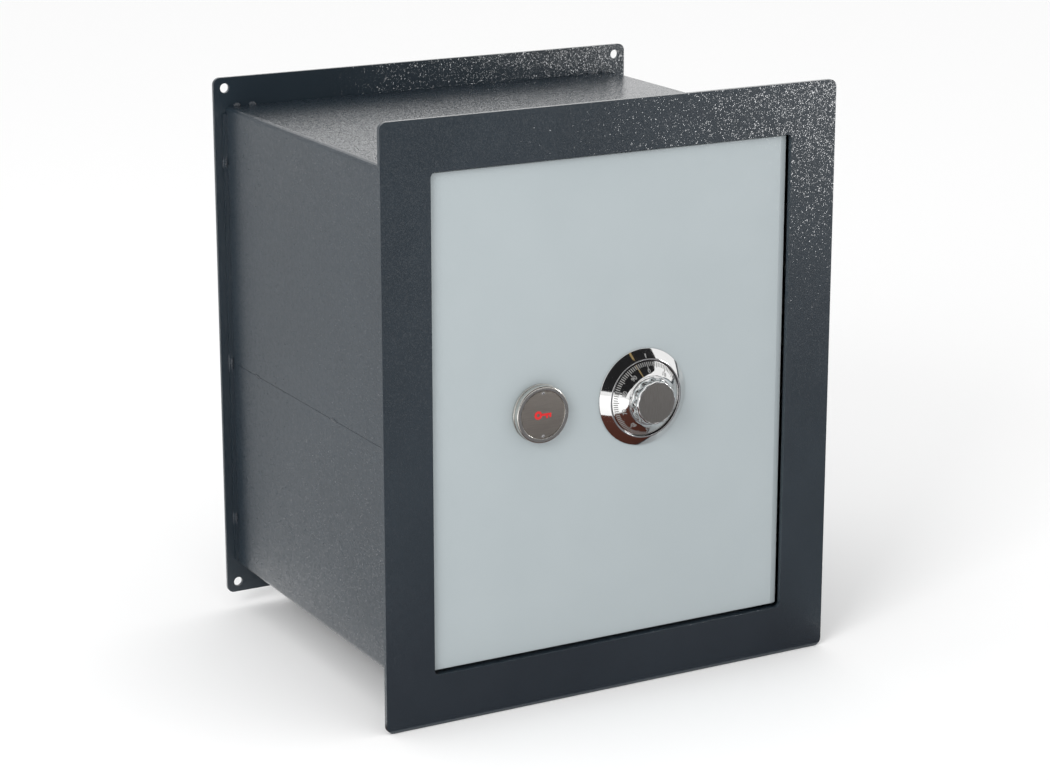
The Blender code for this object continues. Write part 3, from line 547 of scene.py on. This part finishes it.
def dial_numerals():
    """Raised satin tens, 0 to 90, upright at the top of the dial and turned with it."""
    radius = NUMERAL_RADIUS
    tilt = math.atan(CONE_SLOPE)
    front = Vector((0, -1, 0))
    for ten in range(10):
        curve = bpy.data.curves.new(f"numeral_{ten}", "FONT")
        curve.body = str(ten * 10)
        curve.size = NUMERAL_SIZE
        curve.align_x = "CENTER"
        curve.align_y = "CENTER"
        curve.extrude = 0.00008
        curve.offset = 0.00008
        curve.resolution_u = 6
        text = bpy.data.objects.new(f"numeral_{ten}", curve)
        bpy.context.scene.collection.objects.link(text)
        graph = bpy.context.evaluated_depsgraph_get()
        mesh = bpy.data.meshes.new_from_object(text.evaluated_get(graph))
        bpy.data.objects.remove(text)
        angle = math.pi / 2 - 2 * math.pi * ten / 10
        across = Vector((math.sin(angle), 0, -math.cos(angle)))
        radial = Vector((math.cos(angle), 0, math.sin(angle)))
        upright = radial * math.cos(tilt) - front * math.sin(tilt)
        normal = radial * math.sin(tilt) + front * math.cos(tilt)
        turn = Matrix((across, upright, normal)).transposed().to_4x4()
        turn.translation = Vector(AXIS) + radial * radius + front * (cone_height(radius) + NUMERAL_LIFT)
        mesh.transform(turn)
        shape = bmesh.new()
        shape.from_mesh(mesh)
        bmesh.ops.remove_doubles(shape, verts=shape.verts, dist=1e-7)
        new_piece(f"dial_numeral_{ten * 10:02d}", shape, [ENGRAVED], "dial_and_spindle")


def dial_knob():
    """The grip: a chrome skirt with twelve scallops, a rolled shoulder and a flat brushed face."""
    face_radius = KNOB_OUTER - 0.0014
    profile = filleted(
        [
            (0.0, KNOB_BACK),
            (KNOB_OUTER + 0.0004, KNOB_BACK, 0.0002),
            (KNOB_OUTER + 0.0007, KNOB_BACK + 0.0006, 0.0004),
            (KNOB_OUTER + 0.0002, KNOB_BACK + 0.0016, 0.0008),
            (KNOB_OUTER - 0.0005, KNOB_FRONT - 0.0012, 0.0010),
            (face_radius, KNOB_FRONT - 0.0001, 0.0005),
            (face_radius - 0.0010, KNOB_FRONT - 0.00025, 0.0002),
            (0.0, KNOB_FRONT),
        ],
        0.0003,
        6,
    )
    start = KNOB_BACK + 0.0009
    end = KNOB_FRONT - 0.0022

    def scalloped(radius, height, angle):
        if radius < face_radius - 0.0006:
            return radius
        rise = min(max((height - start) / (end - start), 0.0), 1.0)
        wave = (0.5 - 0.5 * math.cos(FLUTES * angle)) ** 1.5
        return radius - FLUTE_DEPTH * math.sin(math.pi * (0.1 + 0.75 * rise)) * wave

    dense = []
    for first, second in zip(profile, profile[1:]):
        parts = max(1, round((second - first).length / 0.0008)) if second.x > face_radius else 1
        for i in range(parts):
            dense.append(first.lerp(second, i / parts))
    dense.append(profile[-1])
    shape = lathe(dense, 288, AXIS, scalloped)
    for part in shape.faces:
        middle = part.calc_center_median()
        out = math.hypot(middle.x - AXIS[0], middle.z - AXIS[2])
        if AXIS[1] - middle.y > KNOB_FRONT - 0.0004 and out < face_radius - 0.0007:
            part.material_index = 1
    new_piece("dial_knob_grip", shape, [CHROME, KNOB_FACE], "dial_and_spindle", ["dial_knob"])


# ---------------------------------------------------------------- the key cover
KEY_AXIS = (KEY[0], DOOR_FRONT, KEY[2])
KEY_OUTER = (top_of("key_cover", X) - bottom_of("key_cover", X)) / 2
KEY_FRONT = DOOR_FRONT - bottom_of("key_cover", Y)
KEY_UNDER = DOOR_FRONT - top_of("key_cover", Y)
KEY_DISC = 19.2 * MM
KEY_FACE = KEY_FRONT - 0.4 * MM
PIN_HEAD = 1.05 * MM
# Radii of the flat dark rings round the pin heads: painted shade of the gap between each pin and its hole.
SHADE_RING_RIM = 1.2 * MM
SHADE_RING_OUTER = 1.5 * MM
EMBLEM_LOW = KEY_FACE - 0.05 * MM
EMBLEM_HIGH = KEY_FACE + 0.12 * MM
BOW_PLACE = -4.3 * MM
BOW_OUTER = 3.4 * MM
BOW_INNER = 1.4 * MM


def key_escutcheon():
    """The polished edge of the plate under the cover. The keyhole itself is the CAD node's."""
    base_front = DOOR_FRONT - bottom_of("key_escutcheon", Y)
    profile = filleted(
        [
            (KEY_OUTER - 0.0035, base_front + 0.00005),
            (KEY_OUTER - 0.0003, base_front + 0.00005, 0.0005),
            (KEY_OUTER + 0.0003, base_front - 0.0004, 0.0004),
            (KEY_OUTER + 0.0003, 0.0004, 0.0003),
            (KEY_OUTER - 0.0001, 0.00015),
        ],
        0.0003,
    )
    shape = lathe(profile, 128, KEY_AXIS)
    new_piece("key_escutcheon_edge", shape, [POLISHED], "door")


def key_cover():
    """The cap: a rolled polished rim, a groove and a satin disc."""
    face = KEY_FACE
    profile = filleted(
        [
            (0.0, face),
            (KEY_DISC - 0.00045, face, 0.0001),
            (KEY_DISC - 0.00035, face - 0.0006, 0.0001),
            (KEY_DISC, face - 0.0006, 0.0001),
            (KEY_DISC + 0.0001, KEY_FRONT - 0.0001, 0.0003),
            (KEY_DISC + 0.0014, KEY_FRONT, 0.0006),
            (KEY_OUTER, KEY_FRONT - 0.0002, 0.0017),
            (KEY_OUTER, KEY_UNDER + 0.0002, 0.0004),
            (KEY_OUTER - 0.0006, KEY_UNDER, 0.0002),
            (0.0, KEY_UNDER),
        ],
        0.0003,
        7,
    )
    shape = lathe(profile, 144, KEY_AXIS)
    for part in shape.faces:
        middle = part.calc_center_median()
        out = math.hypot(middle.x - KEY_AXIS[0], middle.z - KEY_AXIS[2])
        front = KEY_AXIS[1] - middle.y
        if out < KEY_DISC - 0.0001 and front > face - 0.0007:
            part.material_index = 1
    new_piece("key_cover_cap", shape, [POLISHED, NICKEL], "key_flap", ["key_cover"])


def key_cover_pins():
    """The domed heads of the hinge pin above and the stop stud below, each ringed by a flat dark disc that
    is painted shade of the gap round the pin.
    """
    face = KEY_FACE
    for name, body, side in (("key_pin", "door", 1), ("key_stud", "key_flap", -1)):
        place = (KEY_AXIS[0], KEY_AXIS[1], KEY_AXIS[2] + side * abs(PIN[2] - KEY_AXIS[2]))
        dome = [(0.0, face + 0.0006), (0.0009, face + 0.0005), (PIN_HEAD, face), (PIN_HEAD, face - 0.002)]
        dome = filleted(dome, 0.0003)
        new_piece(f"{name}_head", lathe(dome, 32, place), [CHROME], body)
        # A flat dark ring round the head, slightly raised on the cap face: painted shade standing in for
        # the gap between the pin and its hole in the cap.
        painted_shade_ring = [(PIN_HEAD, face + 0.00002), (SHADE_RING_RIM, face + 0.00015), (SHADE_RING_OUTER, face + 0.00002)]
        painted_shade_ring = filleted(painted_shade_ring, 0.0001)
        new_piece(f"{name}_seat", lathe(painted_shade_ring, 32, place), [ENGRAVED], "key_flap")


def key_emblem():
    """A plain sign of a key, in red enamel, on the disc: bow, blade and two teeth."""
    low = EMBLEM_LOW
    high = EMBLEM_HIGH
    steps = 28
    outer = [2 * math.pi * i / steps for i in range(steps)]
    shape = bmesh.new()
    rings = []
    for radius, height in ((BOW_OUTER, low), (BOW_OUTER, high), (BOW_INNER, high), (BOW_INNER, low)):
        ring = []
        for angle in outer:
            x = KEY_AXIS[0] + BOW_PLACE + radius * math.cos(angle)
            z = KEY_AXIS[2] + radius * math.sin(angle)
            ring.append(shape.verts.new((x, KEY_AXIS[1] - height, z)))
        rings.append(ring)
    for first, second in zip(rings, rings[1:] + rings[:1]):
        for i in range(steps):
            j = (i + 1) % steps
            shape.faces.new((first[i], first[j], second[j], second[i]))
    new_piece("key_emblem_bow", shape, [RED], "key_flap")
    blade = [(-0.0012, -0.0009), (0.0026, -0.0009), (0.0026, -0.0032), (0.0042, -0.0032), (0.0042, -0.0009)]
    blade += [(0.0056, -0.0009), (0.0056, -0.0027), (0.0072, -0.0027), (0.0072, 0.0009), (-0.0012, 0.0009)]
    shape = prism(blade, low, high, KEY_AXIS)
    new_piece("key_emblem_blade", shape, [RED], "key_flap")


# ---------------------------------------------------------------- weld beads
RIPPLE_LENGTH = 2.2 * MM
ROW_LENGTH = 0.6 * MM
BEAD_SIDES = 10
BEAD_FLATNESS = 0.62


def weld_bead(name, start, end, normal, width, body="root", material=None):
    """A bead of overlapping ripples from start to end. normal is the way it bulges."""
    start = Vector(start)
    end = Vector(end)
    out = Vector(normal).normalized()
    along = end - start
    length = along.length
    along.normalize()
    across = along.cross(out).normalized()
    rng = random.Random(name)
    rows = max(10, round(length / ROW_LENGTH))
    sides = BEAD_SIDES
    shape = bmesh.new()
    rings = []
    for row in range(rows + 1):
        t = row / rows
        taper = math.sin(math.pi * min(max(t, 0.02), 0.98)) ** 0.35
        ripple = 1 + 0.13 * math.cos(2 * math.pi * t * length / RIPPLE_LENGTH) + rng.uniform(-0.07, 0.07)
        half = width / 2 * taper * ripple
        drift = across * rng.uniform(-0.00018, 0.00018)
        middle = start + along * (t * length) + drift
        ring = []
        for i in range(sides):
            angle = 2 * math.pi * i / sides
            lump = 1 + rng.uniform(-0.06, 0.06)
            side = across * math.cos(angle) * half * lump
            lift = out * math.sin(angle) * half * BEAD_FLATNESS * lump
            ring.append(shape.verts.new(middle + side + lift))
        rings.append(ring)
    for first, second in zip(rings, rings[1:]):
        for i in range(sides):
            j = (i + 1) % sides
            shape.faces.new((first[i], first[j], second[j], second[i]))
    for ring, point in ((rings[0], start - along * 0.0003), (rings[-1], end + along * 0.0003)):
        tip = shape.verts.new(point)
        for i in range(sides):
            shape.faces.new((ring[i], ring[(i + 1) % sides], tip))
    every_way = {"use_axis_x": True, "use_axis_y": True, "use_axis_z": True}
    bmesh.ops.smooth_vert(shape, verts=shape.verts, factor=0.35, **every_way)
    return new_piece(name, shape, [material or WELD], body, degrees=80.0)


def body_welds():
    """Beads between the sheet body and the back plate, and tacks along the side seams."""
    y = BACK_FRONT - 0.0006
    for side, label in ((-1, "left"), (1, "right")):
        x = side * (abs(BODY_LEFT) + 0.0022)
        for index, (z, length) in enumerate(((0.155, 0.012), (SEAM, 0.019), (-0.158, 0.015)), 1):
            start = (x, y, z - length / 2)
            end = (x, y, z + length / 2)
            weld_bead(f"weld_{label}_{index}", start, end, (side, -1, 0), 0.0058)
        for index, depth in enumerate((-0.055, -0.205), 1):
            x_wall = side * abs(BODY_LEFT)
            start = (x_wall, depth - 0.0055, SEAM - 0.0004)
            end = (x_wall, depth + 0.0055, SEAM + 0.0004)
            weld_bead(f"weld_seam_{label}_{index}", start, end, (side, 0, 0), 0.0026)
    for z, way, label in ((BODY_TOP, 1, "top"), (BODY_BOTTOM, -1, "bottom")):
        for index, x in enumerate((-0.178, -0.164, 0.164, 0.178), 1):
            start = (x - 0.003, y, z + way * 0.0006)
            end = (x + 0.003, y, z + way * 0.0006)
            weld_bead(f"weld_{label}_{index}", start, end, (0, -1, way), 0.0050)


def hinge_welds():
    """Beads that hold the hinge brackets to the body, and the hinge blocks to the door."""
    for label, way in (("upper", 1), ("lower", -1)):
        low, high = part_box(f"hinge_bracket_{label}")
        z = (high.z - 0.0008) if way > 0 else (low.z + 0.0008)
        for index, x in enumerate((low.x + 0.0002, high.x - 0.0002), 1):
            start = (x, high.y - 0.0125, z)
            end = (x, high.y - 0.0015, z)
            side = -1 if index == 1 else 1
            weld_bead(f"weld_bracket_{label}_{index}", start, end, (side, 0, -way), 0.0036)
        low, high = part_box(f"door_hinge_block_{label}")
        x = low.x - 0.0002
        start = (x, DOOR_REAR + 0.0006, low.z + 0.002)
        end = (x, DOOR_REAR + 0.0006, high.z - 0.002)
        name = f"weld_hinge_block_{label}"
        weld_bead(name, start, end, (-1, 1, 0), 0.0032, "door", ZINC)


# ---------------------------------------------------------------- fasteners
def screw_head(name, place, radius, height, body, replaces=(), shank=0.0, recess=True):
    """A pan-head screw with a cross recess, its head towards +Y from place."""
    profile = filleted(
        [
            (radius * 0.34, height - 0.0009 if recess else height),
            (radius * 0.40, height, 0.0001),
            (radius * 0.70, height - 0.0001, 0.0004),
            (radius, height * 0.45, 0.0007),
            (radius, 0.0, 0.0001),
            (radius * 0.48, 0.0),
            (radius * 0.46, -shank),
            (0.0, -shank),
        ],
        0.0002,
        4,
    )
    shape = bmesh.new()
    sides = 48
    rings = []
    for r, h in profile:
        ring = []
        for i in range(sides):
            angle = 2 * math.pi * i / sides
            pull = 1.0
            if recess and h > height - 0.0010 and r < radius * 0.45:
                pull = 0.62 + 0.75 * abs(math.cos(2 * angle)) ** 6
            x = place[0] + r * pull * math.cos(angle)
            z = place[2] + r * pull * math.sin(angle)
            ring.append(shape.verts.new((x, place[1] + h, z)))
        rings.append(ring)
    for above, below in zip(rings, rings[1:]):
        for i in range(sides):
            j = (i + 1) % sides
            shape.faces.new((above[i], above[j], below[j], below[i]))
    shape.faces.new(rings[0])
    bmesh.ops.remove_doubles(shape, verts=shape.verts, dist=1e-8)
    return new_piece(name, shape, [ZINC], body, replaces)


def cover_screws():
    for index in range(1, 5):
        name = f"cover_screw_{index}"
        low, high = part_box(name)
        middle = (low + high) / 2
        head = 0.0025
        place = (middle.x, high.y - head, middle.z)
        radius = (high.x - low.x) / 2
        screw_head(f"pan_head_screw_{index}", place, radius, head, "door", [name], 0.0150)


def case_screws():
    """Small screws at the corners of the two lock cases' lids."""
    for lid, inset in (("wheel_case_cover", 0.0055), ("key_lock_cover", 0.0050)):
        low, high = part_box(lid)
        count = 0
        for x in (low.x + inset, high.x - inset):
            for z in (low.z + inset, high.z - inset):
                count += 1
                screw_head(f"{lid}_screw_{count}", (x, high.y, z), 0.0028, 0.0016, "door")


def bolt_rivets():
    """Rivets that hold the lock tongue on the bolt bar."""
    low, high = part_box("lock_tongue")
    bar = top_of("bolt_bar", X)
    for index, z in enumerate((-0.0048, 0.0048), 1):
        place = ((low.x + bar) / 2, high.y, z)
        screw_head(f"tongue_rivet_{index}", place, 0.0026, 0.0013, "bolt_work", recess=False)


# ---------------------------------------------------------------- stage, lights and camera
CAMERA_PLACE = Vector((-1.0863, -2.1413, 0.6055))
CAMERA_AZIMUTH = math.radians(28.96)
CAMERA_ELEVATION = math.radians(15.08)
CAMERA_LENS = 95.96
CAMERA_SHIFT = -0.03


def camera():
    data = bpy.data.cameras.new("camera")
    data.lens = CAMERA_LENS
    data.sensor_width = 36.0
    data.shift_y = CAMERA_SHIFT
    data.clip_end = 100.0
    view = bpy.data.objects.new("camera", data)
    view.location = CAMERA_PLACE
    view.rotation_euler = (math.pi / 2 - CAMERA_ELEVATION, 0.0, -CAMERA_AZIMUTH)
    bpy.context.scene.collection.objects.link(view)
    bpy.context.scene.camera = view


def stage_plane(name, size, place, aim, colour, roughness=0.9):
    """A flat sheet whose face looks at the point aim."""
    mesh = bpy.data.meshes.new(name)
    shape = bmesh.new()
    bmesh.ops.create_grid(shape, x_segments=1, y_segments=1, size=0.5)
    bmesh.ops.scale(shape, vec=(size[0], size[1], 1.0), verts=shape.verts)
    shape.to_mesh(mesh)
    shape.free()
    sheet = bpy.data.objects.new(name, mesh)
    sheet.location = place
    way = Vector(aim) - Vector(place)
    sheet.rotation_euler = way.to_track_quat("Z", "Y").to_euler()
    graph = Graph(name)
    graph.put(Roughness=roughness, Specular_IOR_Level=0.1)
    graph.shader.inputs["Base Color"].default_value = (*colour, 1.0)
    mesh.materials.append(graph.material)
    bpy.context.scene.collection.objects.link(sheet)
    return sheet


def reflector(name, size, place, aim, colour):
    """A studio card that only shows in reflections."""
    card = stage_plane(name, size, place, aim, colour)
    card.visible_camera = False
    card.visible_diffuse = False
    card.visible_shadow = False
    return card


def area_light(name, place, aim, size, power, hidden_from):
    data = bpy.data.lights.new(name, "AREA")
    data.energy = power
    data.size = size
    light = bpy.data.objects.new(name, data)
    light.location = place
    light.rotation_euler = (Vector(aim) - Vector(place)).to_track_quat("-Z", "Y").to_euler()
    setattr(light, "visible_" + hidden_from, False)
    bpy.context.scene.collection.objects.link(light)


def studio():
    world = bpy.data.worlds.new("studio")
    world.use_nodes = True
    back = world.node_tree.nodes["Background"]
    back.inputs["Color"].default_value = (1.0, 1.0, 1.0, 1.0)
    back.inputs["Strength"].default_value = 1.0
    bpy.context.scene.world = world
    bpy.context.scene.view_settings.view_transform = "Standard"
    floor = stage_plane("floor", (30.0, 30.0), (0, 0, FLOOR_Z - 0.0005), (0, 0, 1), (0.95, 0.95, 0.95))
    floor.rotation_euler = (0, 0, 0)
    black = (0.012, 0.012, 0.013)
    reflector("dark_card_front", (3.7, 3.0), (0.45, -1.6, 1.56), (0.45, 0.0, 1.56), black)
    brown = (0.075, 0.026, 0.018)
    reflector("brown_card_low", (0.82, 0.27), (-0.19, -0.445, FLOOR_Z + 0.002), (-0.19, -0.445, 1.0), brown)
    grey = (0.16, 0.16, 0.17)
    reflector("dark_floor_right", (1.9, 2.2), (0.83, -1.46, FLOOR_Z + 0.001), (0.83, -1.46, 1.0), grey)
    pale = (0.42, 0.43, 0.44)
    reflector("grey_floor_left", (1.6, 3.0), (-1.05, 1.10, FLOOR_Z), (-1.05, 1.10, 1.0), pale)
    reflector("grey_card_left", (3.2, 2.2), (-2.0, 2.4, 0.86), (-0.2, -0.1, 0.1), pale)
    reflector("amber_strip", (0.10, 0.9), (0.32, -1.5, 1.50), (0.05, -0.33, 0.0), (0.30, 0.22, 0.10))
    area_light("sparkle", (0.86, -1.05, 0.16), (0.18, -0.32, 0.15), 0.17, 1.7, "diffuse")
    area_light("key_light", (-2.2, -1.7, 1.3), (0.0, -0.3, 0.0), 1.2, 40.0, "glossy")


paint_cad_nodes()
dial_ring()
index_mark()
dial_face()
dial_numerals()
dial_knob()
key_escutcheon()
key_cover()
key_cover_pins()
key_emblem()
body_welds()
hinge_welds()
cover_screws()
case_screws()
bolt_rivets()
camera()
studio()
